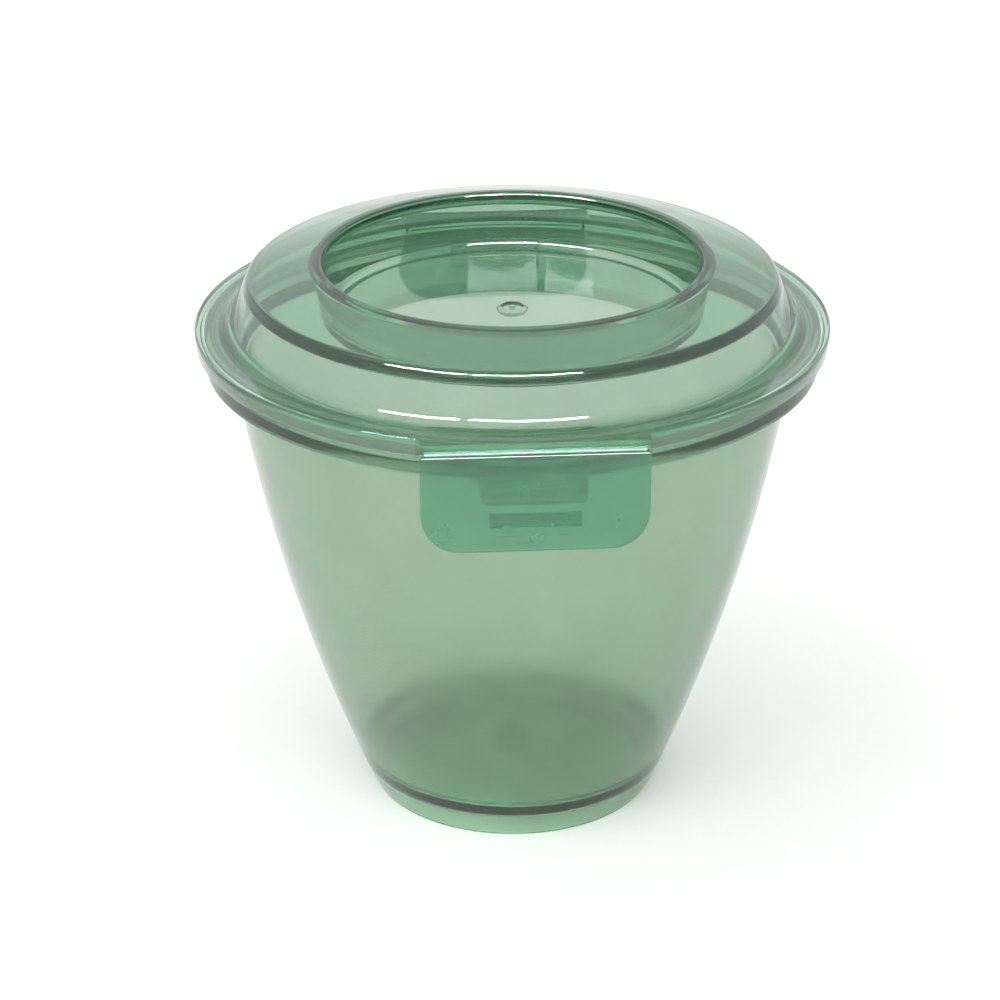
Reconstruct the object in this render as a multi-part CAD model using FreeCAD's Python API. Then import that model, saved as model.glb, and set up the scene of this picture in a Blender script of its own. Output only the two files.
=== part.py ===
import FreeCAD, Part
import math
import os

from FreeCAD import Vector

# Round food container with a stacking lid and two snap flaps, in millimetres.
# The base stands on z = 0, the container's axis is Z, and the front flap faces -Y.

os.makedirs("parts", exist_ok=True)

# ---------------------------------------------------------------- driving dimensions
LID_RADIUS = 72.5        # outside of the lid's flange
LID_TOP = 117.5          # upper face of the flange, above the table
LID_WALL = 1.8           # thickness of the lid's ring, recess and floor
FLANGE_THICK = 1.6
EDGE_LIP_DROP = 4.0      # the flange's turned-down edge, below its upper face
EDGE_LIP_WIDTH = 1.4
EDGE_LIP_DRAFT = 0.2

RING_BASE_RADIUS = 65.2  # raised ring, where its outer wall meets the flange
RING_BASE_ROUND = 3.5
RING_TOP_RADIUS = 60.2
RING_TOP = 10.9          # heights on the lid are above the flange's upper face
RING_TOP_ROUND = 2.6
RIM_RADIUS = 45.5        # crest round the stacking recess
RIM_TOP = 15.0
RIM_FALL = 0.2           # the crest is this much lower on its outer side
RIM_ROUND = 1.6
RECESS_TOP_RADIUS = 43.2
RECESS_TOP_ROUND = 1.1
RECESS_RADIUS = 41.3
RECESS_FLOOR = 1.4
RECESS_ROUND = 2.2
RECESS_CROWN = 2.5       # the recess floor is slightly domed, up to this height

SKIRT_OUTER = 66.2       # plug skirt under the flange, which goes inside the bowl's rim
SKIRT_BOTTOM = -5.4
SKIRT_WALL = 1.5
SEAL_OUTER = 68.2
SEAL_BOTTOM = -5.0

BOWL_WALL = 2.0
FLOOR_THICK = 2.4
FLOOR_ROUND = 4.0
FOOT_HEIGHT = 6.4          # the underside of the floor is raised inside the foot
FOOT_OUTER = 33.8
FOOT_WIDTH = 2.2
WALL_FOOT_RADIUS = 35.25  # outside of the wall, just above the base
WALL_FOOT_HEIGHT = 3.0
WALL_TOP_RADIUS = 64.0    # outside of the wall, just under the rim
WALL_TOP_DROP = 10.6      # drops are below the flange's upper face
WALL_BULGE = 3.2          # how far the wall bows out from its chord
RIM_OUTER = 70.4
RIM_INNER = 68.5
RIM_DRAFT = 0.2
RIM_TOP_DROP = 1.9
RIM_FOOT_DROP = 9.4       # lower edge of the rim's outer band
RIM_ROOT_RADIUS = 64.6    # the band's underside slopes in to the wall here
RIM_ROOT_DROP = 10.0
SEAT_DROP = 5.8           # ledge inside the rim that the plug skirt drops onto
SEAT_INNER = 63.7
SEAT_SLOPE = 1.0
EDGE_ROUND = 0.5          # small rounding on outer edges
BEND_ROUND = 0.8          # rounding where two faces of a thin wall meet

FLAP_WIDTH = 48.3
FLAP_THICK = 1.4
FLAP_BOTTOM_DROP = 24.3
FLAP_CORNER = 8.5
FLAP_EDGE_ROUND = 0.4
PAD_FRONT = 72.1          # straight front edge of the flange, which carries the flap
HINGE_OUT = 73.0          # hinge axis, out from the container's axis
HINGE_DROP = 1.6
HINGE_BEAD = 0.3         # radius of the living hinge's bead
HINGE_WEB = 0.4
HINGE_GAP = 0.5          # from the hinge axis to the flap's edge
HINGE_INSET = 1.0        # the hinge stops this short of the flap's sides
PAD_BACK = 68.0          # where the straight-fronted part starts, on the flat of the flange
PAD_CORNER = 0.8
PAD_THICK = 2.4          # depth of the rail under the straight edge
RAIL_BACK = 70.9         # inner face of the rail, clear of the bowl's rim
PAD_SIDE_GAP = 0.5       # the turned-down edge stops this far beside the flap

CATCH_WIDTH = 22.2
CATCH_OUT = 70.0         # face of the catch, just clear of the hanging flap's lip
CATCH_THICK = 1.4
CATCH_TOP_DROP = 2.6
CATCH_BOTTOM_DROP = 14.9
CATCH_CHAMFER = 0.9
BLOCK_TOP_DROP = 6.6      # the block runs from the catch back to the wall
BLOCK_TOP_RADIUS = 68.6
BLOCK_ROOT_RADIUS = 63.4
BLOCK_ROOT_DROP = 8.2
BLOCK_FOOT_RADIUS = 62.6
BLOCK_FOOT_DROP = 13.0

LIP_WIDTH = 19.2
LIP_DEPTH = 1.6
LIP_HEIGHT = 2.8
LIP_CLEARANCE = 1.3       # below the catch, so that the lip can swing under it
RIB_SPACING = 12.0
RIB_WIDTH = 2.1
RIB_HEIGHT = 2.0
RIB_FOOT = 0.35           # the rib's depth at its lower and upper ends, in lip depths
RIB_HEAD = 0.8

GATE_RADIUS = 2.6         # round gate marks in the middle of the lid and of the bowl's floor
GATE_DEPTH = 0.5
GATE_NUB_RADIUS = 0.7
GATE_NUB_RISE = 0.25      # above the bottom of the well
BOSS_RADIUS = 3.4         # boss under each gate mark, which keeps the wall from thinning
BOSS_DEPTH = 0.9

AXIS = Vector(0, 0, 1)
ORIGIN = Vector(0, 0, 0)


# ---------------------------------------------------------------- helpers
def at(radius, height):
    """A point of a section, drawn in the XZ plane."""
    return Vector(radius, 0, height)


def turned(start, *stretches):
    """A solid turned from a closed section. A stretch is a point, or a pair (through, to) for an arc."""
    edges = []
    here = start
    for stretch in stretches + (start,):
        if isinstance(stretch, tuple):
            through, there = stretch
            edges.append(Part.Arc(here, through, there).toShape())
        else:
            there = stretch
            edges.append(Part.LineSegment(here, there).toShape())
        here = there
    face = Part.Face(Part.Wire(edges))
    return face.revolve(ORIGIN, AXIS, 360)


def parallel(path, distance):
    """The path moved sideways by distance, to the right of its direction, with mitred corners."""
    normals = []
    for a, b in zip(path, path[1:]):
        along = (b - a).normalize()
        normals.append(Vector(along.z, 0, -along.x))
    moved = [path[0] + normals[0] * distance]
    for corner, before, after in zip(path[1:], normals, normals[1:]):
        mitre = (before + after) * (distance / (1 + before.dot(after)))
        moved.append(corner + mitre)
    moved.append(path[-1] + normals[-1] * distance)
    return moved


def round_circles(solid, *corners):
    """Round the circular edges of a turned solid. Each corner is (radius, height, rounding)."""
    for radius, height, rounding in corners:
        edges = [
            e
            for e in solid.Edges
            if not e.Degenerated
            and isinstance(e.Curve, Part.Circle)
            and abs(e.Curve.Radius - radius) < 0.02
            and abs(e.Curve.Center.z - height) < 0.02
            and abs(e.Curve.Axis.z) > 0.99
        ]
        if not edges:
            raise ValueError(f"no circular edge at radius {radius}, height {height}")
        solid = solid.makeFillet(rounding, edges)
    return solid


def prism(points, thickness, towards):
    """A flat outline made into a plate of the given thickness."""
    wire = Part.makePolygon(points + points[:1])
    return Part.Face(wire).extrude(towards * thickness)


def block(low, high):
    size = high - low
    return Part.makeBox(size.x, size.y, size.z, low)


def at_rear(shape):
    """A copy turned half a turn about the container's axis, from the front to the rear."""
    copy = shape.copy()
    copy.rotate(ORIGIN, AXIS, 180)
    return copy


def with_gate_mark(shell, top, bottom):
    """The shell with a shallow well and nub in its upward face, and a boss under it."""
    boss = Part.makeCylinder(BOSS_RADIUS, BOSS_DEPTH + EDGE_ROUND, at(0, bottom - BOSS_DEPTH))
    well = Part.makeCylinder(GATE_RADIUS, GATE_DEPTH + 1, at(0, top - GATE_DEPTH))
    nub = Part.makeCylinder(GATE_NUB_RADIUS, GATE_DEPTH, at(0, top - 2 * GATE_DEPTH + GATE_NUB_RISE))
    return shell.fuse(boss).cut(well.cut(nub))


def save(node, shape):
    if not shape.isValid() or len(shape.Solids) != 1:
        raise ValueError(f"{node} is not one valid solid")
    shape.Solids[0].exportStep(f"parts/{node}.step")
    print(node, round(shape.Volume / 1000, 2), "cm3")


# ---------------------------------------------------------------- bowl
def wall_arc():
    """Centre and radius of the arc that the outside of the bowl's wall follows."""
    low = at(WALL_FOOT_RADIUS, WALL_FOOT_HEIGHT)
    high = at(WALL_TOP_RADIUS, LID_TOP - WALL_TOP_DROP)
    chord = high - low
    radius = chord.Length**2 / (8 * WALL_BULGE) + WALL_BULGE / 2
    outward = Vector(chord.z, 0, -chord.x).normalize()
    centre = (low + high) * 0.5 + outward * (WALL_BULGE - radius)
    return centre, radius


def wall_point(height, inset=0.0):
    """A point of the wall's section at a height, on the outside or inset from it."""
    centre, radius = wall_arc()
    radius -= inset
    return at(centre.x + math.sqrt(radius**2 - (height - centre.z) ** 2), height)


def catch():
    """The front catch: a plate hanging from the rim, on a solid block that ties it back to the wall."""
    half = CATCH_WIDTH / 2
    top = LID_TOP - CATCH_TOP_DROP
    bottom = LID_TOP - CATCH_BOTTOM_DROP
    plate = prism(
        [
            Vector(-half, -CATCH_OUT, top),
            Vector(half, -CATCH_OUT, top),
            Vector(half, -CATCH_OUT, bottom + CATCH_CHAMFER),
            Vector(half - CATCH_CHAMFER, -CATCH_OUT, bottom),
            Vector(CATCH_CHAMFER - half, -CATCH_OUT, bottom),
            Vector(-half, -CATCH_OUT, bottom + CATCH_CHAMFER),
        ],
        CATCH_THICK,
        Vector(0, 1, 0),
    )
    profile = [
        Vector(-half, -CATCH_OUT, LID_TOP - BLOCK_TOP_DROP),
        Vector(-half, -CATCH_OUT, bottom + CATCH_CHAMFER),
        Vector(-half, CATCH_THICK - CATCH_OUT, bottom + CATCH_CHAMFER),
        Vector(-half, -BLOCK_FOOT_RADIUS, LID_TOP - BLOCK_FOOT_DROP),
        Vector(-half, -BLOCK_ROOT_RADIUS, LID_TOP - BLOCK_ROOT_DROP),
        Vector(-half, -BLOCK_TOP_RADIUS, LID_TOP - BLOCK_TOP_DROP),
    ]
    return plate.fuse(prism(profile, CATCH_WIDTH, Vector(1, 0, 0)))


def bowl():
    floor_top = FOOT_HEIGHT + FLOOR_THICK
    foot_inner = FOOT_OUTER - FOOT_WIDTH
    foot_roof = wall_point(FOOT_HEIGHT, FOOT_WIDTH)
    inner_low = wall_point(floor_top, BOWL_WALL)
    outer_low = wall_point(WALL_FOOT_HEIGHT)
    outer_top = wall_point(LID_TOP - WALL_TOP_DROP)
    inner_top = wall_point(outer_top.z + BOWL_WALL / 2, BOWL_WALL)
    middle = LID_TOP / 2
    rim_top = LID_TOP - RIM_TOP_DROP
    rim_root = at(RIM_ROOT_RADIUS, LID_TOP - RIM_ROOT_DROP)
    rim_foot = at(RIM_OUTER - RIM_DRAFT, LID_TOP - RIM_FOOT_DROP)
    seat_outer = at(RIM_INNER, LID_TOP - SEAT_DROP)
    seat_inner = at(SEAT_INNER, LID_TOP - SEAT_DROP - SEAT_SLOPE)
    shell = turned(
        at(0, FOOT_HEIGHT),
        foot_roof,
        at(foot_inner, 0),
        at(FOOT_OUTER, 0),
        outer_low,
        (wall_point(middle), outer_top),
        rim_root,
        rim_foot,
        at(RIM_OUTER, rim_top),
        at(RIM_INNER + RIM_DRAFT, rim_top),
        seat_outer,
        seat_inner,
        inner_top,
        (wall_point(middle, BOWL_WALL), inner_low),
        at(0, floor_top),
    )
    shell = round_circles(
        shell,
        (inner_low.x, floor_top, FLOOR_ROUND),
        (foot_inner, 0, EDGE_ROUND),
        (FOOT_OUTER, 0, EDGE_ROUND),
        (foot_roof.x, FOOT_HEIGHT, BEND_ROUND),
        (RIM_OUTER, rim_top, EDGE_ROUND),
        (RIM_INNER + RIM_DRAFT, rim_top, EDGE_ROUND),
        (seat_outer.x, seat_outer.z, BEND_ROUND),
        (rim_foot.x, rim_foot.z, BEND_ROUND),
        (rim_root.x, rim_root.z, BEND_ROUND),
        (seat_inner.x, seat_inner.z, BEND_ROUND),
    )
    shell = with_gate_mark(shell, floor_top, FOOT_HEIGHT)
    shell = shell.fuse(catch())
    return shell.fuse(at_rear(catch())).removeSplitter()


# ---------------------------------------------------------------- lid
def flap_pad():
    """The straight-fronted part of the flange, with a rail under its edge that carries the front flap."""
    half = FLAP_WIDTH / 2
    pad = block(Vector(-half, -PAD_FRONT, LID_TOP - FLANGE_THICK), Vector(half, -PAD_BACK, LID_TOP))
    rail = block(Vector(-half, -PAD_FRONT, LID_TOP - PAD_THICK), Vector(half, -RAIL_BACK, LID_TOP))
    pad = pad.fuse(rail).removeSplitter()
    front_corners = [e for e in pad.Edges if abs(e.CenterOfMass.y + PAD_FRONT) < 0.01
                     and abs(abs(e.CenterOfMass.x) - half) < 0.01]
    return pad.makeFillet(PAD_CORNER, front_corners)


def hinge_clearance():
    """What is cut from the flange at the front, so that its edge is straight along the flap."""
    half = FLAP_WIDTH / 2
    beyond = LID_RADIUS + 5
    edge_half = half + PAD_SIDE_GAP
    trim = block(
        Vector(-half, -beyond, LID_TOP - 2 * EDGE_LIP_DROP),
        Vector(half, -PAD_FRONT, LID_TOP + FLANGE_THICK),
    )
    under = block(
        Vector(-edge_half, -beyond, LID_TOP - 2 * EDGE_LIP_DROP),
        Vector(edge_half, -SKIRT_OUTER - EDGE_LIP_DRAFT, LID_TOP - FLANGE_THICK),
    )
    return trim.fuse(under)


def lid():
    # upper face of the shell, from the recess floor's edge out to the flange
    upper = [
        at(RECESS_RADIUS, LID_TOP + RECESS_FLOOR),
        at(RECESS_TOP_RADIUS, LID_TOP + RIM_TOP),
        at(RIM_RADIUS, LID_TOP + RIM_TOP - RIM_FALL),
        at(RING_TOP_RADIUS, LID_TOP + RING_TOP),
        at(RING_BASE_RADIUS, LID_TOP),
    ]
    lower = parallel(upper, LID_WALL)
    under_floor = LID_TOP + RECESS_FLOOR - LID_WALL
    crown = LID_TOP + RECESS_CROWN
    dome_rise = RECESS_CROWN - RECESS_FLOOR
    dome_radius = (RECESS_RADIUS**2 + dome_rise**2) / (2 * dome_rise)
    half_way = RECESS_RADIUS / 2
    dome_drop = dome_radius - math.sqrt(dome_radius**2 - half_way**2)
    skirt_bottom = LID_TOP + SKIRT_BOTTOM
    flange_under = LID_TOP - FLANGE_THICK
    lip_bottom = LID_TOP - EDGE_LIP_DROP
    lip_inner = LID_RADIUS - EDGE_LIP_WIDTH
    recess_under = at(lower[0].x, under_floor)
    skirt_inner = SKIRT_OUTER - SKIRT_WALL
    shell = turned(
        at(0, crown),
        (at(half_way, crown - dome_drop), upper[0]),
        upper[1],
        upper[2],
        upper[3],
        upper[4],
        at(LID_RADIUS, LID_TOP),
        at(LID_RADIUS - EDGE_LIP_DRAFT, lip_bottom),
        at(lip_inner, lip_bottom),
        at(lip_inner - EDGE_LIP_DRAFT, flange_under),
        at(SKIRT_OUTER, flange_under),
        at(SKIRT_OUTER, skirt_bottom),
        at(skirt_inner, skirt_bottom),
        lower[4],
        lower[3],
        lower[2],
        lower[1],
        recess_under,
        (at(half_way, crown - dome_drop - LID_WALL), at(0, crown - LID_WALL)),
    )
    shell = round_circles(
        shell,
        (upper[0].x, upper[0].z, RECESS_ROUND),
        (upper[1].x, upper[1].z, RECESS_TOP_ROUND),
        (upper[2].x, upper[2].z, RIM_ROUND),
        (upper[3].x, upper[3].z, RING_TOP_ROUND),
        (upper[4].x, upper[4].z, RING_BASE_ROUND),
        (lower[3].x, lower[3].z, RING_TOP_ROUND - LID_WALL),
        (lower[2].x, lower[2].z, BEND_ROUND),
        (recess_under.x, recess_under.z, RECESS_ROUND),
        (SKIRT_OUTER, skirt_bottom, EDGE_ROUND),
        (skirt_inner, skirt_bottom, EDGE_ROUND),
    )
    shell = with_gate_mark(shell, crown, crown - LID_WALL)
    for clearance, pad in (
        (hinge_clearance(), flap_pad()),
        (at_rear(hinge_clearance()), at_rear(flap_pad())),
    ):
        shell = shell.cut(clearance).fuse(pad)
    return shell.removeSplitter()


def lid_seal():
    """Soft ring round the plug skirt, under the flange."""
    top = LID_TOP - FLANGE_THICK
    bottom = LID_TOP + SEAL_BOTTOM
    ring = turned(at(SKIRT_OUTER, top), at(SEAL_OUTER, top), at(SEAL_OUTER, bottom), at(SKIRT_OUTER, bottom))
    return round_circles(ring, (SEAL_OUTER, top, EDGE_ROUND), (SEAL_OUTER, bottom, EDGE_ROUND))


# ---------------------------------------------------------------- front flap, hinge and latch lip
def flap():
    """A flat plate hanging from the hinge, with large lower corners."""
    half = FLAP_WIDTH / 2
    top = LID_TOP - HINGE_DROP - HINGE_GAP
    bottom = LID_TOP - FLAP_BOTTOM_DROP
    inner = -HINGE_OUT + FLAP_THICK / 2
    outer = inner - FLAP_THICK
    plate = block(Vector(-half, outer, bottom), Vector(half, inner, top))
    corners = [e for e in plate.Edges if abs(e.CenterOfMass.z - bottom) < 0.01
               and abs(abs(e.CenterOfMass.x) - half) < 0.01]
    plate = plate.makeFillet(FLAP_CORNER, corners)
    outline = [e for f in plate.Faces if abs(f.CenterOfMass.y - outer) < 0.01 for e in f.Edges]
    return plate.makeFillet(FLAP_EDGE_ROUND, outline)


def living_hinge():
    """The thin web that the flap bends on: a bead on the hinge axis with a web back to the flange."""
    half = FLAP_WIDTH / 2 - HINGE_INSET
    height = LID_TOP - HINGE_DROP
    bead = Part.makeCylinder(HINGE_BEAD, 2 * half, Vector(-half, -HINGE_OUT, height), Vector(1, 0, 0))
    web = block(
        Vector(-half, -HINGE_OUT, height - HINGE_WEB / 2),
        Vector(half, -PAD_FRONT, height + HINGE_WEB / 2),
    )
    return bead.fuse(web).removeSplitter()


def latch_lip():
    """The ledge inside the flap that hooks under the catch, on two small ribs."""
    half = LIP_WIDTH / 2
    face = -HINGE_OUT + FLAP_THICK / 2
    top = LID_TOP - CATCH_BOTTOM_DROP - LIP_CLEARANCE
    bottom = top - LIP_HEIGHT
    ledge = block(Vector(-half, face, bottom), Vector(half, face + LIP_DEPTH, top))
    inner_edges = [e for e in ledge.Edges if abs(e.CenterOfMass.y - face - LIP_DEPTH) < 0.01]
    shape = ledge.makeFillet(EDGE_ROUND, inner_edges)
    for side in (-1, 1):
        x = side * RIB_SPACING / 2 - RIB_WIDTH / 2
        outline = [
            Vector(x, face, bottom),
            Vector(x, face, bottom - RIB_HEIGHT),
            Vector(x, face + LIP_DEPTH * RIB_FOOT, bottom - RIB_HEIGHT),
            Vector(x, face + LIP_DEPTH * RIB_HEAD, bottom),
        ]
        shape = shape.fuse(prism(outline, RIB_WIDTH, Vector(1, 0, 0)))
    return shape.removeSplitter()


# ---------------------------------------------------------------- one file for each node
save("bowl", bowl())
save("lid", lid())
save("lid_seal", lid_seal())
for name, shape in (("flap", flap()), ("living_hinge", living_hinge()), ("latch_lip", latch_lip())):
    save(f"front_{name}", shape)
    save(f"rear_{name}", at_rear(shape))
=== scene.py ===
import math

import bmesh
import bpy
from mathutils import Matrix, Vector


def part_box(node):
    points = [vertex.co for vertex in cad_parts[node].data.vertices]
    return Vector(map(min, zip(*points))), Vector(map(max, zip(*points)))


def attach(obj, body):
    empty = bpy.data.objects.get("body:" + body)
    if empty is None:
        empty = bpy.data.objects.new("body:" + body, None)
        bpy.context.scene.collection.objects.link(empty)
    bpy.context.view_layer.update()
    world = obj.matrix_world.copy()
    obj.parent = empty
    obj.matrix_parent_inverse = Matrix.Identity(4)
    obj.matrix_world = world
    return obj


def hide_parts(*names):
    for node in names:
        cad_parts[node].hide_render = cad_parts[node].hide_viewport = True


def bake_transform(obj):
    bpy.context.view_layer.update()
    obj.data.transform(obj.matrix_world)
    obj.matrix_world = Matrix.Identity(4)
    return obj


# A green see-through food container: bowl, ring-shaped lid, and two flaps that hook under catches when
# they are pressed in. Sections and outlines are worked out in millimetres, in the frame's own axes, and
# the meshes are in metres.

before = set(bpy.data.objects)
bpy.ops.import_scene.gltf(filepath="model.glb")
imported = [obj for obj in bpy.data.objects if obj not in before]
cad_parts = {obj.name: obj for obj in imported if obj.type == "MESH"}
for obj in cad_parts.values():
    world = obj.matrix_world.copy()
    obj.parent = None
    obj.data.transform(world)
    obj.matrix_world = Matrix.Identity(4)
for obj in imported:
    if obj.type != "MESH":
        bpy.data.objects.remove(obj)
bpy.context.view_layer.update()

MM = 0.001
TURNS = 320                 # facets round the container
ARC_STEP = math.radians(9)  # facets on a rounded corner
SUPPORT = 0.12              # extra ring beside each rounded corner, which keeps the flat part flat
GAP = 0.03                  # between pieces that touch
ON_AXIS = 1e-6              # a smaller radius is a point on the axis
PLATE_SEGMENTS = 4          # facets on a plate's rounded rim
RIM_ANGLE = math.radians(60)        # a plate's edges that turn more than this are its rims
CREASE_ANGLE = math.radians(32)     # edges that turn more than this stay crisp


def box_mm(node):
    low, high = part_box(node)
    return low / MM, high / MM


lid_low, lid_high = box_mm("lid")
_, bowl_high = box_mm("bowl")
seal_low, seal_high = box_mm("lid_seal")
flap_low, flap_high = box_mm("front_flap")
lip_low, lip_high = box_mm("front_latch_lip")
_, film_high = box_mm("front_living_hinge")

# lid; heights called rises are above the flange's upper face
FLANGE_THICK = 1.6
LID_WALL = 1.8
LID_RADIUS = lid_high.x
LID_TOP = seal_high.z + FLANGE_THICK
EDGE_LIP_DROP = 4.0
EDGE_LIP_WIDTH = 1.4
EDGE_LIP_DRAFT = 0.2
UNDERSIDE_ROUND = 0.2
RING_BASE_RADIUS = 65.2
RING_BASE_ROUND = 3.5
RING_TOP_RADIUS = 60.2
RING_RISE = 10.9
RING_TOP_ROUND = 1.8
PLATE_EXTRA = 1.8           # the ring's top is thicker than its walls, which in the CAD it isn't
PLATE_EDGE_ROUND = 0.4
RIM_RADIUS = 45.5
RIM_FALL = 0.2
RIM_ROUND = 1.6
RECESS_TOP_RADIUS = 43.2
RECESS_TOP_ROUND = 1.1
RECESS_RADIUS = 41.3
RECESS_RISE = 1.4
RECESS_ROUND = 2.2
CROWN_RISE = 2.5
DOME_STEPS = 14
MARK_MARGIN = 1.0           # the dome's points this near a gate mark or boss are left out
SKIRT_OUTER = 66.2
SKIRT_THICK = 1.5
SKIRT_DROP = 5.4
PAD_FRONT = -lid_low.y
PAD_BACK = 68.0
PAD_CORNER = 0.8
PAD_THICK = 2.4
RAIL_BACK = 70.9
PAD_SIDE_GAP = 0.5
CUT_BEYOND = 5.0            # how far the cutting blocks reach past the flange's edge
CUT_ABOVE = 1.0             # and above its upper face
TRIM_INSET = 0.05           # the round flange ends this far behind the pad's front
SKIRT_CLEARANCE = 0.2       # from the skirt to the cut

# seal ring
SEAL_INNER_ROUND = 0.15
SEAL_TOP_ROUND = 0.5
SEAL_FOOT_ROUND = 0.7

# bowl
BOWL_WALL = 2.0
FLOOR_THICK = 2.4
FLOOR_ROUND = 4.0
FOOT_HEIGHT = 6.4
FOOT_OUTER = 33.8
FOOT_WIDTH = 2.2
WALL_FOOT = Vector((35.25, 3.0))
WALL_TOP = Vector((64.0, LID_TOP - 10.6))
WALL_BULGE = 3.2
WALL_STEPS = 24
RIM_OUTER = bowl_high.x
RIM_INNER = 68.5
RIM_TOP = bowl_high.z
RIM_DRAFT = 0.2
RIM_FOOT_DROP = 9.4
RIM_ROOT_RADIUS = 64.6
RIM_ROOT_DROP = 10.0
SEAT_DROP = 5.8
SEAT_FALL = 1.0             # the seat slopes down inwards
SEAT_INNER = 63.7
INSIDE_RISE = 1.0           # the wall's inside starts this far above the top of its outside
EDGE_ROUND = 0.5
BEND_ROUND = 0.8

# catches on the bowl
CATCH_HALF = 11.1
CATCH_OUT = 70.0
CATCH_THICK = 1.4
CATCH_TOP_DROP = 2.6
CATCH_BOTTOM_DROP = 14.9
CATCH_CHAMFER = 0.9
CATCH_ROUNDING = 0.25
BLOCK_TOP_DROP = 6.6
BLOCK_BACK = ((62.6, 13.0), (63.4, 8.2), (68.6, BLOCK_TOP_DROP))    # each corner's distance out and drop

# flaps
HINGE_DROP = 1.6
HINGE_OUT = 73.0
FILM_THICK = 0.36
FILM_ROUND = 0.4
FLAP_CORNER = 8.5
FLAP_TOP_CORNER = 0.7
FLAP_ROUNDING = 0.5
LIP_HEIGHT = 2.8
LIP_ROUND = 0.5
LIP_OVERLAP = 0.4           # how far the lip and its ribs start inside the flap's plate
RIB_SPACING = 12.0
RIB_WIDTH = 2.1
RIB_OVERLAP = 0.5           # how far the ribs reach into the ledge
RIB_FOOT_SHARE = 0.35       # the ribs' depth as a share of the lip's, at their foot
RIB_TOP_SHARE = 0.8         # and under the ledge

# gate marks
GATE_RADIUS = 2.6
GATE_DEPTH = 0.5
GATE_EDGE_ROUND = 0.15
WELL_DRAFT = 0.5
WELL_ROUND = 0.3
NUB_RADIUS = 0.7
NUB_DRAFT = 0.1
NUB_DROP = 0.3 * GATE_DEPTH
NUB_ROUND = 0.3
BOSS_RADIUS = 3.4
BOSS_DEPTH = 0.9
BOSS_ROUND = 0.3
BOSS_ROOT_ROUND = 0.2


# ---------------------------------------------------------------- outlines
def arc(start, end, rise, steps):
    """Points after start and up to end, on the arc that bows out to the left of the way by rise."""
    chord = end - start
    along = chord.normalized()
    left = Vector((-along.y, along.x))
    half = 2 * math.atan(2 * rise / chord.length)
    radius = chord.length / (2 * math.sin(half))
    points = []
    for i in range(1, steps + 1):
        angle = half * (2 * i / steps - 1)
        out = radius * (math.cos(angle) - math.cos(half))
        points.append(start + along * radius * (math.sin(angle) + math.sin(half)) + left * out)
    return points


def half_rise(radius, reach):
    """How far a dome's arc stands off the chord from its crown to its edge."""
    half = math.asin(reach / radius) / 2
    return radius * (1 - math.cos(half))


def parallel(path, distance):
    """The path moved to the right of its direction, with mitred corners."""
    normals = []
    for a, b in zip(path, path[1:]):
        along = (b - a).normalized()
        normals.append(Vector((along.y, -along.x)))
    moved = [path[0] + normals[0] * distance]
    for corner, before, after in zip(path[1:], normals, normals[1:]):
        moved.append(corner + (before + after) * (distance / (1 + before.dot(after))))
    moved.append(path[-1] + normals[-1] * distance)
    return moved


def rounded(corners, closed=False):
    """An outline from corners, which are points or (point, rounding). Rounded corners become fine arcs."""
    corners = [c if isinstance(c, tuple) else (c, 0) for c in corners]
    count = len(corners)
    points = []
    for i, (corner, radius) in enumerate(corners):
        if not radius or (not closed and i in (0, count - 1)):
            points.append(corner.copy())
            continue
        arriving = (corner - corners[i - 1][0]).normalized()
        leaving = (corners[(i + 1) % count][0] - corner).normalized()
        turn = arriving.angle_signed(leaving)
        tangent = radius * math.tan(abs(turn) / 2)
        first = corner - arriving * tangent
        last = corner + leaving * tangent
        steps = max(3, math.ceil(abs(turn) / ARC_STEP))
        points.append(first - arriving * SUPPORT)
        points.append(first)
        side = 1 if arriving.cross(leaving) > 0 else -1
        rise = -side * radius * (1 - math.cos(turn / 2))
        points += arc(first, last, rise, steps)
        points.append(last + leaving * SUPPORT)
    return points


# ---------------------------------------------------------------- meshes
def new_piece(name, vertices, faces):
    """An object from vertices in millimetres, with its normals turned outwards."""
    mesh = bpy.data.meshes.new(name)
    mesh.from_pydata([Vector(v) * MM for v in vertices], [], faces)
    piece = bpy.data.objects.new(name, mesh)
    bpy.context.scene.collection.objects.link(piece)
    edit = bmesh.new()
    edit.from_mesh(mesh)
    bmesh.ops.recalc_face_normals(edit, faces=edit.faces)
    edit.to_mesh(mesh)
    edit.free()
    return piece


def spun(name, section, closed=False):
    """A closed surface turned about Z. An open section runs from the axis to the axis."""
    angles = [2 * math.pi * (i + 0.5) / TURNS for i in range(TURNS)]
    circle = [(math.cos(a), math.sin(a)) for a in angles]
    vertices = []
    rings = []
    for radius, height in section:
        start = len(vertices)
        if radius < ON_AXIS:
            vertices.append((0, 0, height))
            rings.append([start] * TURNS)
        else:
            vertices += [(radius * x, radius * y, height) for x, y in circle]
            rings.append(list(range(start, start + TURNS)))
    following = rings[1:] + rings[:1] if closed else rings[1:]
    faces = []
    for ring, beyond in zip(rings, following):
        for i in range(TURNS):
            j = (i + 1) % TURNS
            corners = (ring[i], ring[j], beyond[j], beyond[i])
            faces.append(tuple(dict.fromkeys(corners)))
    return new_piece(name, vertices, [f for f in faces if len(f) > 2])


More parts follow.
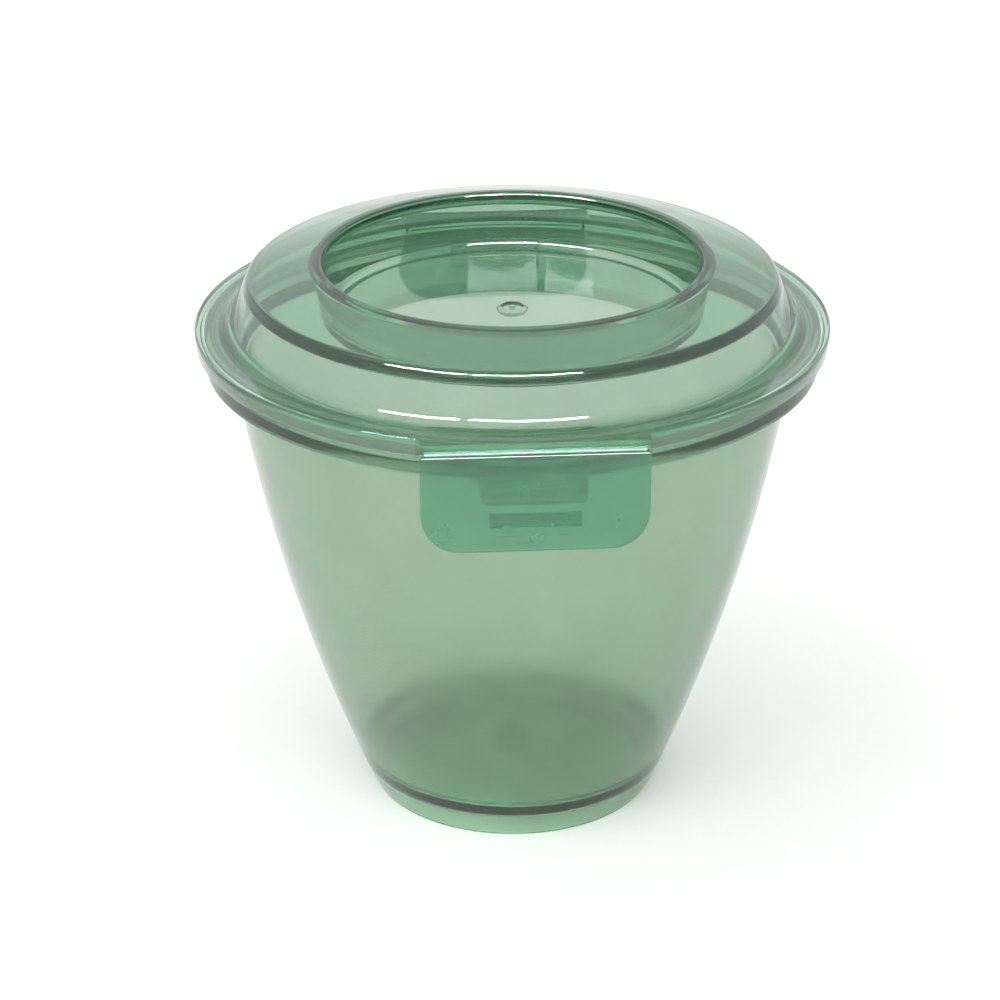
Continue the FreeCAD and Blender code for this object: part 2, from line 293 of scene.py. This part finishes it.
def slab(name, outline, near, far, axis, rounding):
    """A plate from an outline, between two places on the X or Y axis, with its rims rounded."""
    def place(point, depth):
        return (depth, point.x, point.y) if axis == "X" else (point.x, depth, point.y)

    count = len(outline)
    vertices = [place(p, near) for p in outline] + [place(p, far) for p in outline]
    faces = [tuple(range(count)), tuple(range(2 * count - 1, count - 1, -1))]
    for i in range(count):
        j = (i + 1) % count
        faces.append((i, count + i, count + j, j))
    piece = new_piece(name, vertices, faces)
    if rounding:
        edit = bmesh.new()
        edit.from_mesh(piece.data)
        rims = [
            e for e in edit.edges
            if any(len(f.verts) > 4 or len(f.verts) == count for f in e.link_faces)
            and e.calc_face_angle(0) > RIM_ANGLE
        ]
        bmesh.ops.bevel(
            edit, geom=rims, offset=rounding * MM, segments=PLATE_SEGMENTS, profile=0.5, affect="EDGES"
        )
        bmesh.ops.recalc_face_normals(edit, faces=edit.faces)
        edit.to_mesh(piece.data)
        edit.free()
    return piece


def combined(piece, *others, operation="UNION"):
    """The piece with the others joined to it or cut from it, as one closed mesh."""
    for other in others:
        step = piece.modifiers.new("combine", "BOOLEAN")
        step.operation = operation
        step.solver = "MANIFOLD"
        step.object = other
        bpy.context.view_layer.update()
        ready = piece.evaluated_get(bpy.context.evaluated_depsgraph_get())
        mesh = bpy.data.meshes.new_from_object(ready)
        piece.modifiers.clear()
        piece.data = mesh
        bpy.data.objects.remove(other)
    return piece


def finished(piece, material, body, slot, *nodes):
    """Smooth shading with crisp corners, the material, and the piece's place in the frame."""
    piece.data.materials.clear()
    piece.data.materials.append(material)
    piece.data.shade_smooth()
    piece.data.set_sharp_from_angle(angle=CREASE_ANGLE)
    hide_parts(*nodes)
    if body:
        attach(piece, body)
    return piece


def turned_round(piece, name):
    """A copy of a front piece, turned half a turn about the axis to the rear."""
    mesh = piece.data.copy()
    mesh.transform(Matrix.Rotation(math.pi, 4, "Z"))
    copy = bpy.data.objects.new(name, mesh)
    bpy.context.scene.collection.objects.link(copy)
    return copy


# ---------------------------------------------------------------- materials
NOISE_LOW, NOISE_HIGH = 0.3, 0.7    # most of the noise lies between these
SPECULAR_LEVEL = 0.2
TINT_SCALE = 60                     # noise scales; a higher one is finer
GLOSS_SCALE = 180
WAVE_SCALE = 55
GRAIN_SCALE = 2600
BOWL_TINT = ((0.70, 0.74, 0.67), (0.67, 0.71, 0.64))
LID_TINT = ((0.75, 0.77, 0.73), (0.72, 0.74, 0.71))
FLAP_TINT = ((0.52, 0.76, 0.63), (0.48, 0.72, 0.59))
FLOOR_TINT = ((0.86, 0.86, 0.855), (0.89, 0.89, 0.885))
FLOOR_SCALE = 3
FLOOR_ROUGHNESS = 0.8


def node(tree, kind, **inputs):
    """A shader node with its sockets set by name."""
    made = tree.nodes.new(kind)
    for name, value in inputs.items():
        made.inputs[name.replace("_", " ")].default_value = value
    return made


def noise(tree, scale, detail, low, high):
    """Noise in object space, spread between two values."""
    place = node(tree, "ShaderNodeTexCoord")
    grain = node(tree, "ShaderNodeTexNoise", Scale=scale, Detail=detail)
    spread = node(tree, "ShaderNodeMapRange")
    spread.inputs["From Min"].default_value = NOISE_LOW
    spread.inputs["From Max"].default_value = NOISE_HIGH
    spread.inputs["To Min"].default_value = low
    spread.inputs["To Max"].default_value = high
    tree.links.new(place.outputs["Object"], grain.inputs["Vector"])
    tree.links.new(grain.outputs["Fac"], spread.inputs["Value"])
    return spread.outputs["Result"]


def mottled(tree, surface, tint, scale, detail):
    """Gives the surface the pair of colours in tint, mixed by noise."""
    mix = node(tree, "ShaderNodeMix")
    mix.data_type = "RGBA"
    mix.inputs["A"].default_value = (*tint[0], 1)
    mix.inputs["B"].default_value = (*tint[1], 1)
    tree.links.new(noise(tree, scale, detail, 0, 1), mix.inputs["Factor"])
    tree.links.new(mix.outputs["Result"], surface.inputs["Base Color"])


def see_through(name, tint, loss, roughness, wave, grain, transmission, ior=1.5):
    """Clear plastic: uneven gloss, a faint waviness, and colour taken up along the light's way.

    tint is the pair of surface colours that the noise mixes, and loss is what a metre takes up of red,
    green and blue. roughness is a range. wave and grain are the heights, in metres, of the broad and the
    fine unevenness."""
    material = bpy.data.materials.new(name)
    material.use_nodes = True
    tree = material.node_tree
    surface = tree.nodes["Principled BSDF"]
    surface.inputs["IOR"].default_value = ior
    surface.inputs["Transmission Weight"].default_value = transmission
    surface.inputs["Specular IOR Level"].default_value = SPECULAR_LEVEL
    mottled(tree, surface, tint, TINT_SCALE, 3)
    tree.links.new(noise(tree, GLOSS_SCALE, 4, *roughness), surface.inputs["Roughness"])
    broad = node(tree, "ShaderNodeBump", Strength=1, Distance=wave)
    fine = node(tree, "ShaderNodeBump", Strength=1, Distance=grain)
    tree.links.new(noise(tree, WAVE_SCALE, 1, 0, 1), broad.inputs["Height"])
    tree.links.new(noise(tree, GRAIN_SCALE, 2, 0, 1), fine.inputs["Height"])
    tree.links.new(broad.outputs["Normal"], fine.inputs["Normal"])
    tree.links.new(fine.outputs["Normal"], surface.inputs["Normal"])
    strongest = max(loss)
    taken = node(tree, "ShaderNodeVolumeAbsorption", Density=strongest)
    taken.inputs["Color"].default_value = (*[1 - part / strongest for part in loss], 1)
    tree.links.new(taken.outputs["Volume"], tree.nodes["Material Output"].inputs["Volume"])
    return material


bowl_plastic = see_through("bowl_plastic", BOWL_TINT, (118, 54, 92), (0.10, 0.17), 4e-6, 4e-7, 0.98)
lid_plastic = see_through("lid_plastic", LID_TINT, (135, 52, 92), (0.01, 0.04), 3e-6, 0, 0.98)
flap_plastic = see_through("flap_plastic", FLAP_TINT, (560, 230, 330), (0.20, 0.28), 4e-6, 4e-7, 0.95)
seal_silicone = see_through("seal_silicone", LID_TINT, (120, 52, 90), (0.1, 0.2), 2e-6, 4e-7, 0.98, 1.41)


def pale_floor():
    material = bpy.data.materials.new("pale_floor")
    material.use_nodes = True
    tree = material.node_tree
    surface = tree.nodes["Principled BSDF"]
    mottled(tree, surface, FLOOR_TINT, FLOOR_SCALE, 2)
    surface.inputs["Roughness"].default_value = FLOOR_ROUGHNESS
    return material


# ---------------------------------------------------------------- bowl
def wall_point(height, inset=0.0):
    """Where the wall's outside is at a height, or inset from it."""
    chord = WALL_TOP - WALL_FOOT
    radius = chord.length_squared / (8 * WALL_BULGE) + WALL_BULGE / 2
    outward = Vector((chord.y, -chord.x)).normalized()
    centre = (WALL_FOOT + WALL_TOP) / 2 + outward * (WALL_BULGE - radius)
    return Vector((centre.x + math.sqrt((radius - inset) ** 2 - (height - centre.y) ** 2), height))


def wall_line(low, high, inset):
    """Points of the wall from one height to another, both included."""
    return [wall_point(low + (high - low) * i / WALL_STEPS, inset) for i in range(WALL_STEPS + 1)]


def gate(height):
    """The moulding mark on the axis: a nub in a round well."""
    return [
        Vector((0, height - NUB_DROP)),
        (Vector((NUB_RADIUS, height - NUB_DROP)), NUB_ROUND),
        Vector((NUB_RADIUS + NUB_DRAFT, height - GATE_DEPTH)),
        (Vector((GATE_RADIUS - WELL_DRAFT, height - GATE_DEPTH)), WELL_ROUND),
        (Vector((GATE_RADIUS, height)), GATE_EDGE_ROUND),
    ]


def boss(height):
    """The small boss that hangs under a gate mark."""
    return [
        Vector((0, height - BOSS_DEPTH)),
        (Vector((BOSS_RADIUS, height - BOSS_DEPTH)), BOSS_ROUND),
        (Vector((BOSS_RADIUS, height)), BOSS_ROOT_ROUND),
    ]


def bowl_section():
    floor_top = FOOT_HEIGHT + FLOOR_THICK
    foot_inner = FOOT_OUTER - FOOT_WIDTH
    seat = LID_TOP - SEAT_DROP
    outside = wall_line(WALL_FOOT.y, WALL_TOP.y, 0)
    inside = wall_line(WALL_TOP.y + INSIDE_RISE, floor_top, BOWL_WALL)
    corners = [
        *boss(FOOT_HEIGHT),
        (wall_point(FOOT_HEIGHT, FOOT_WIDTH), BEND_ROUND),
        (Vector((foot_inner, 0)), EDGE_ROUND),
        (Vector((FOOT_OUTER, 0)), EDGE_ROUND),
        *outside,
        (Vector((RIM_ROOT_RADIUS, LID_TOP - RIM_ROOT_DROP)), BEND_ROUND),
        (Vector((RIM_OUTER - RIM_DRAFT, LID_TOP - RIM_FOOT_DROP)), BEND_ROUND),
        (Vector((RIM_OUTER, RIM_TOP)), EDGE_ROUND),
        (Vector((RIM_INNER + RIM_DRAFT, RIM_TOP)), EDGE_ROUND),
        (Vector((RIM_INNER, seat)), BEND_ROUND),
        (Vector((SEAT_INNER, seat - SEAT_FALL)), BEND_ROUND),
        *inside[:-1],
        (inside[-1], FLOOR_ROUND),
        *reversed(gate(floor_top)),
    ]
    return rounded(corners)


def catch(name):
    """The plate under the rim that the flap's lip hooks, on the solid block that ties it to the wall."""
    top = LID_TOP - CATCH_TOP_DROP
    bottom = LID_TOP - CATCH_BOTTOM_DROP
    outline = [
        Vector((-CATCH_HALF, top)),
        Vector((CATCH_HALF, top)),
        Vector((CATCH_HALF, bottom + CATCH_CHAMFER)),
        Vector((CATCH_HALF - CATCH_CHAMFER, bottom)),
        Vector((CATCH_CHAMFER - CATCH_HALF, bottom)),
        Vector((-CATCH_HALF, bottom + CATCH_CHAMFER)),
    ]
    plate = slab(name, outline, -CATCH_OUT, CATCH_THICK - CATCH_OUT, "Y", CATCH_ROUNDING)
    inset = CATCH_ROUNDING
    profile = [
        Vector((inset - CATCH_OUT, LID_TOP - BLOCK_TOP_DROP)),
        Vector((inset - CATCH_OUT, bottom + CATCH_CHAMFER + inset)),
        Vector((CATCH_THICK - CATCH_OUT, bottom + CATCH_CHAMFER + inset)),
        *[Vector((-out, LID_TOP - drop)) for out, drop in BLOCK_BACK],
    ]
    body = slab(f"{name}_body", profile, inset - CATCH_HALF, CATCH_HALF - inset, "X", 0)
    return combined(plate, body)


# ---------------------------------------------------------------- lid and seal
def lid_section():
    upper = [
        Vector((RECESS_RADIUS, LID_TOP + RECESS_RISE)),
        Vector((RECESS_TOP_RADIUS, lid_high.z)),
        Vector((RIM_RADIUS, lid_high.z - RIM_FALL)),
        Vector((RING_TOP_RADIUS, LID_TOP + RING_RISE)),
        Vector((RING_BASE_RADIUS, LID_TOP)),
    ]
    lower = parallel(upper, LID_WALL)
    lower[2] += Vector((0, -PLATE_EXTRA))
    lower[3] += (lower[4] - lower[3]).normalized() * PLATE_EXTRA
    crown = LID_TOP + CROWN_RISE
    dome = CROWN_RISE - RECESS_RISE
    recess_under = Vector((lower[0].x, upper[0].y - LID_WALL))
    skirt_bottom = LID_TOP - SKIRT_DROP
    skirt_inner = SKIRT_OUTER - SKIRT_THICK
    flange_under = LID_TOP - FLANGE_THICK
    lip_bottom = LID_TOP - EDGE_LIP_DROP
    lip_inner = LID_RADIUS - EDGE_LIP_WIDTH
    dome_radius = (RECESS_RADIUS**2 + dome**2) / (2 * dome)
    gate_edge = crown - GATE_RADIUS**2 / (2 * dome_radius)
    over_rise = half_rise(dome_radius, upper[0].x)
    over_dome = arc(Vector((0, crown)), upper[0], over_rise, DOME_STEPS)
    start = next(i for i, point in enumerate(over_dome) if point.x > GATE_RADIUS + MARK_MARGIN)
    under_rise = -half_rise(dome_radius, recess_under.x)
    under_dome = arc(recess_under, Vector((0, crown - LID_WALL)), under_rise, DOME_STEPS)
    corners = [
        *gate(gate_edge),
        *over_dome[start:-1],
        (upper[0], RECESS_ROUND),
        (upper[1], RECESS_TOP_ROUND),
        (upper[2], RIM_ROUND),
        (upper[3], RING_TOP_ROUND),
        (upper[4], RING_BASE_ROUND),
        (Vector((LID_RADIUS, LID_TOP)), EDGE_ROUND),
        (Vector((LID_RADIUS - EDGE_LIP_DRAFT, lip_bottom)), EDGE_ROUND),
        (Vector((lip_inner, lip_bottom)), UNDERSIDE_ROUND),
        (Vector((lip_inner - EDGE_LIP_DRAFT, flange_under)), UNDERSIDE_ROUND),
        (Vector((SKIRT_OUTER, flange_under)), UNDERSIDE_ROUND),
        (Vector((SKIRT_OUTER, skirt_bottom)), EDGE_ROUND),
        (Vector((skirt_inner, skirt_bottom)), EDGE_ROUND),
        lower[4],
        (lower[3], PLATE_EDGE_ROUND),
        (lower[2], BEND_ROUND),
        lower[1],
        (recess_under, RECESS_ROUND),
        *[point for point in under_dome if point.x > BOSS_RADIUS + MARK_MARGIN],
        *reversed(boss(crown - LID_WALL)),
    ]
    return rounded(corners)


def flap_pad(name):
    """The straight-fronted part of the flange, with a rail under its edge that carries the flap."""
    def plate(part, thick, back):
        half = flap_high.x
        outline = rounded([
            (Vector((-half, -PAD_FRONT)), PAD_CORNER),
            (Vector((half, -PAD_FRONT)), PAD_CORNER),
            Vector((half, -back)),
            Vector((-half, -back)),
        ], closed=True)
        low = [(p.x, p.y, LID_TOP - thick) for p in outline]
        count = len(outline)
        faces = [tuple(range(count)), tuple(range(2 * count - 1, count - 1, -1))]
        faces += [(i, count + i, count + (i + 1) % count, (i + 1) % count) for i in range(count)]
        return new_piece(part, low + [(p.x, p.y, LID_TOP) for p in outline], faces)

    return combined(plate(name, FLANGE_THICK, PAD_BACK), plate("rail", PAD_THICK, RAIL_BACK))


def block(name, low, high):
    """A plain block, used only for cutting."""
    vertices = [(x, y, z) for x in (low.x, high.x) for y in (low.y, high.y) for z in (low.z, high.z)]
    faces = [(0, 1, 3, 2), (4, 6, 7, 5), (0, 4, 5, 1), (2, 3, 7, 6), (0, 2, 6, 4), (1, 5, 7, 3)]
    return new_piece(name, vertices, faces)


def hinge_clearance():
    """What is cut from the flange so that its edge is straight, and has no turned-down lip, by the flap."""
    half = flap_high.x
    low = LID_TOP - 2 * EDGE_LIP_DROP
    beyond = -LID_RADIUS - CUT_BEYOND
    trim = block(
        "trim",
        Vector((-half, beyond, low)),
        Vector((half, TRIM_INSET - PAD_FRONT, LID_TOP + CUT_ABOVE)),
    )
    under = block(
        "under_trim",
        Vector((-half - PAD_SIDE_GAP, beyond, low)),
        Vector((half + PAD_SIDE_GAP, -SKIRT_OUTER - SKIRT_CLEARANCE, LID_TOP - FLANGE_THICK)),
    )
    return [trim, under]


def seal_section():
    inner = SKIRT_OUTER + GAP
    outer = seal_high.x
    top = seal_high.z - GAP
    return rounded([
        (Vector((inner, top)), SEAL_INNER_ROUND),
        (Vector((outer, top)), SEAL_TOP_ROUND),
        (Vector((outer, seal_low.z)), SEAL_FOOT_ROUND),
        (Vector((inner, seal_low.z)), SEAL_INNER_ROUND),
    ], closed=True)


# ---------------------------------------------------------------- flap
def flap_moulding(name):
    """The flap's plate with the lip that hooks under the catch and the lip's two ribs."""
    half = flap_high.x
    outline = rounded([
        (Vector((-half, flap_high.z)), FLAP_TOP_CORNER),
        (Vector((-half, flap_low.z)), FLAP_CORNER),
        (Vector((half, flap_low.z)), FLAP_CORNER),
        (Vector((half, flap_high.z)), FLAP_TOP_CORNER),
    ], closed=True)
    plate = slab(name, outline, flap_low.y, flap_high.y, "Y", FLAP_ROUNDING)
    root = flap_high.y - LIP_OVERLAP
    depth = lip_high.y - lip_low.y
    ledge_bottom = lip_high.z - LIP_HEIGHT
    rib_top = ledge_bottom + RIB_OVERLAP
    ledge_outline = rounded([
        Vector((root, lip_high.z)),
        Vector((root, ledge_bottom)),
        (Vector((lip_high.y, ledge_bottom)), LIP_ROUND),
        (Vector((lip_high.y, lip_high.z)), LIP_ROUND),
    ], closed=True)
    parts = [slab("ledge", ledge_outline, lip_low.x, lip_high.x, "X", 0)]
    rib_outline = [
        Vector((root, rib_top)),
        Vector((root, lip_low.z)),
        Vector((flap_high.y + depth * RIB_FOOT_SHARE, lip_low.z)),
        Vector((flap_high.y + depth * RIB_TOP_SHARE, ledge_bottom)),
        Vector((flap_high.y + depth * RIB_TOP_SHARE, rib_top)),
    ]
    for side in (-1, 1):
        middle = side * RIB_SPACING / 2
        parts.append(slab("rib", rib_outline, middle - RIB_WIDTH / 2, middle + RIB_WIDTH / 2, "X", 0))
    return combined(plate, *parts)


def hinge_film(name):
    """The thin web that the flap bends on, from the flange's edge over the hinge axis to the flap's top."""
    start = Vector((-PAD_FRONT - GAP, LID_TOP - HINGE_DROP))
    over = Vector((-HINGE_OUT, LID_TOP - HINGE_DROP))
    end = Vector((-HINGE_OUT, flap_high.z + GAP))
    line = rounded([start, (over, FILM_ROUND), end])
    outer = parallel(line, FILM_THICK / 2)
    inner = parallel(line, -FILM_THICK / 2)
    half = film_high.x
    return slab(name, outer + inner[::-1], -half, half, "X", 0)


# ---------------------------------------------------------------- assembly
bowl = combined(spun("bowl_shell", bowl_section()), catch("catch"))
rear_catch = turned_round(catch("catch_template"), "rear_catch")
bpy.data.objects.remove(bpy.data.objects["catch_template"])
combined(bowl, rear_catch)
finished(bowl, bowl_plastic, "bowl", "bowl_plastic", "bowl")

lid = spun("lid_shell", lid_section())
for cutter in hinge_clearance():
    rear_cutter = turned_round(cutter, "rear_cutter")
    combined(lid, cutter, rear_cutter, operation="DIFFERENCE")
front_pad = flap_pad("front_pad")
rear_pad = turned_round(front_pad, "rear_pad")
combined(lid, front_pad, rear_pad)
finished(lid, lid_plastic, "lid", "lid_plastic", "lid")

seal = spun("seal_ring", seal_section(), closed=True)
finished(seal, seal_silicone, "lid", "seal_silicone", "lid_seal")

front = flap_moulding("front_flap_moulding")
rear = turned_round(front, "rear_flap_moulding")
front_film = hinge_film("front_hinge_film")
rear_film = turned_round(front_film, "rear_hinge_film")
for piece, side in ((front, "front"), (rear, "rear")):
    finished(piece, flap_plastic, f"{side}_flap", "flap_plastic", f"{side}_flap", f"{side}_latch_lip")
for piece, side, sign in ((front_film, "front", 1), (rear_film, "rear", -1)):
    finished(piece, flap_plastic, None, "flap_plastic", f"{side}_living_hinge")
    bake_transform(piece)

# ---------------------------------------------------------------- floor, light and camera
FLOOR_RADIUS = 6.0
FLOOR_SIDES = 128
FLOOR_DROP = 0.00005        # keeps the floor's face apart from the foot's
bpy.ops.mesh.primitive_circle_add(
    vertices=FLOOR_SIDES, radius=FLOOR_RADIUS, fill_type="NGON", location=(0, 0, -FLOOR_DROP)
)
floor = bpy.context.object
floor.name = "floor"
floor.data.materials.append(pale_floor())

ROOM_STRENGTH = 1.15
world = bpy.data.worlds.new("soft_room")
world.use_nodes = True
world.node_tree.nodes["Background"].inputs["Color"].default_value = (1, 1, 1, 1)
world.node_tree.nodes["Background"].inputs["Strength"].default_value = ROOM_STRENGTH
bpy.context.scene.world = world

LAMP_TARGET = Vector((0, 0, 0.08))
WINDOW_ELEVATION = 40
WINDOW_DISTANCE = 1.5
WINDOW_HEIGHT = 0.23
WINDOWS = (("window_wide", 3.2, 1.05, 110), ("window_narrow", -44.3, 0.75, 80))  # azimuth, width, power


def lamp(name, azimuth, elevation, distance, width, height, power):
    """A soft rectangular light that faces the object. Azimuth 0 is in front, and 90 at +X."""
    data = bpy.data.lights.new(name, "AREA")
    data.shape = "RECTANGLE"
    data.size = width
    data.size_y = height
    data.energy = power
    light = bpy.data.objects.new(name, data)
    turn, lift = math.radians(azimuth), math.radians(elevation)
    away = Vector((math.sin(turn) * math.cos(lift), -math.cos(turn) * math.cos(lift), math.sin(lift)))
    light.location = LAMP_TARGET + away * distance
    light.rotation_euler = away.to_track_quat("Z", "Y").to_euler()
    bpy.context.scene.collection.objects.link(light)
    return light


# the panes show in reflections only
for name, azimuth, width, power in WINDOWS:
    pane = lamp(name, azimuth, WINDOW_ELEVATION, WINDOW_DISTANCE, width, WINDOW_HEIGHT, power)
    pane.visible_camera = False
    pane.visible_diffuse = False
    pane.visible_transmission = False
    pane.visible_volume_scatter = False
lamp("overhead", azimuth=-60, elevation=60, distance=1.6, width=1.4, height=1.4, power=4)

CAMERA_LENS = 108
CAMERA_PLACE = Vector((0, -0.6403, 0.3689))     # and angles, both before the turn about Z
CAMERA_PITCH = math.radians(24.95)
CAMERA_YAW = math.radians(-0.266)
CAMERA_ROLL = math.radians(-0.238)
CAMERA_AZIMUTH = math.radians(-3.8)
LIGHT_BOUNCES = 32

camera_data = bpy.data.cameras.new("camera")
camera_data.sensor_width = 36
camera_data.lens = CAMERA_LENS
camera_data.clip_start = 0.01
camera = bpy.data.objects.new("camera", camera_data)
bpy.context.scene.collection.objects.link(camera)
bpy.context.scene.camera = camera
pitch, yaw, roll = CAMERA_PITCH, CAMERA_YAW, CAMERA_ROLL
ahead = Vector((math.sin(yaw) * math.cos(pitch), math.cos(yaw) * math.cos(pitch), -math.sin(pitch)))
across = ahead.cross(Vector((0, 0, 1))).normalized()
above = across.cross(ahead)
right = across * math.cos(roll) + above * math.sin(roll)
up = above * math.cos(roll) - across * math.sin(roll)
aim = Matrix((right, up, -ahead)).transposed().to_4x4()
stand = Matrix.Translation(CAMERA_PLACE)
camera.matrix_world = Matrix.Rotation(CAMERA_AZIMUTH, 4, "Z") @ stand @ aim

scene = bpy.context.scene
scene.view_settings.view_transform = "Standard"
scene.cycles.max_bounces = LIGHT_BOUNCES
scene.cycles.transmission_bounces = LIGHT_BOUNCES
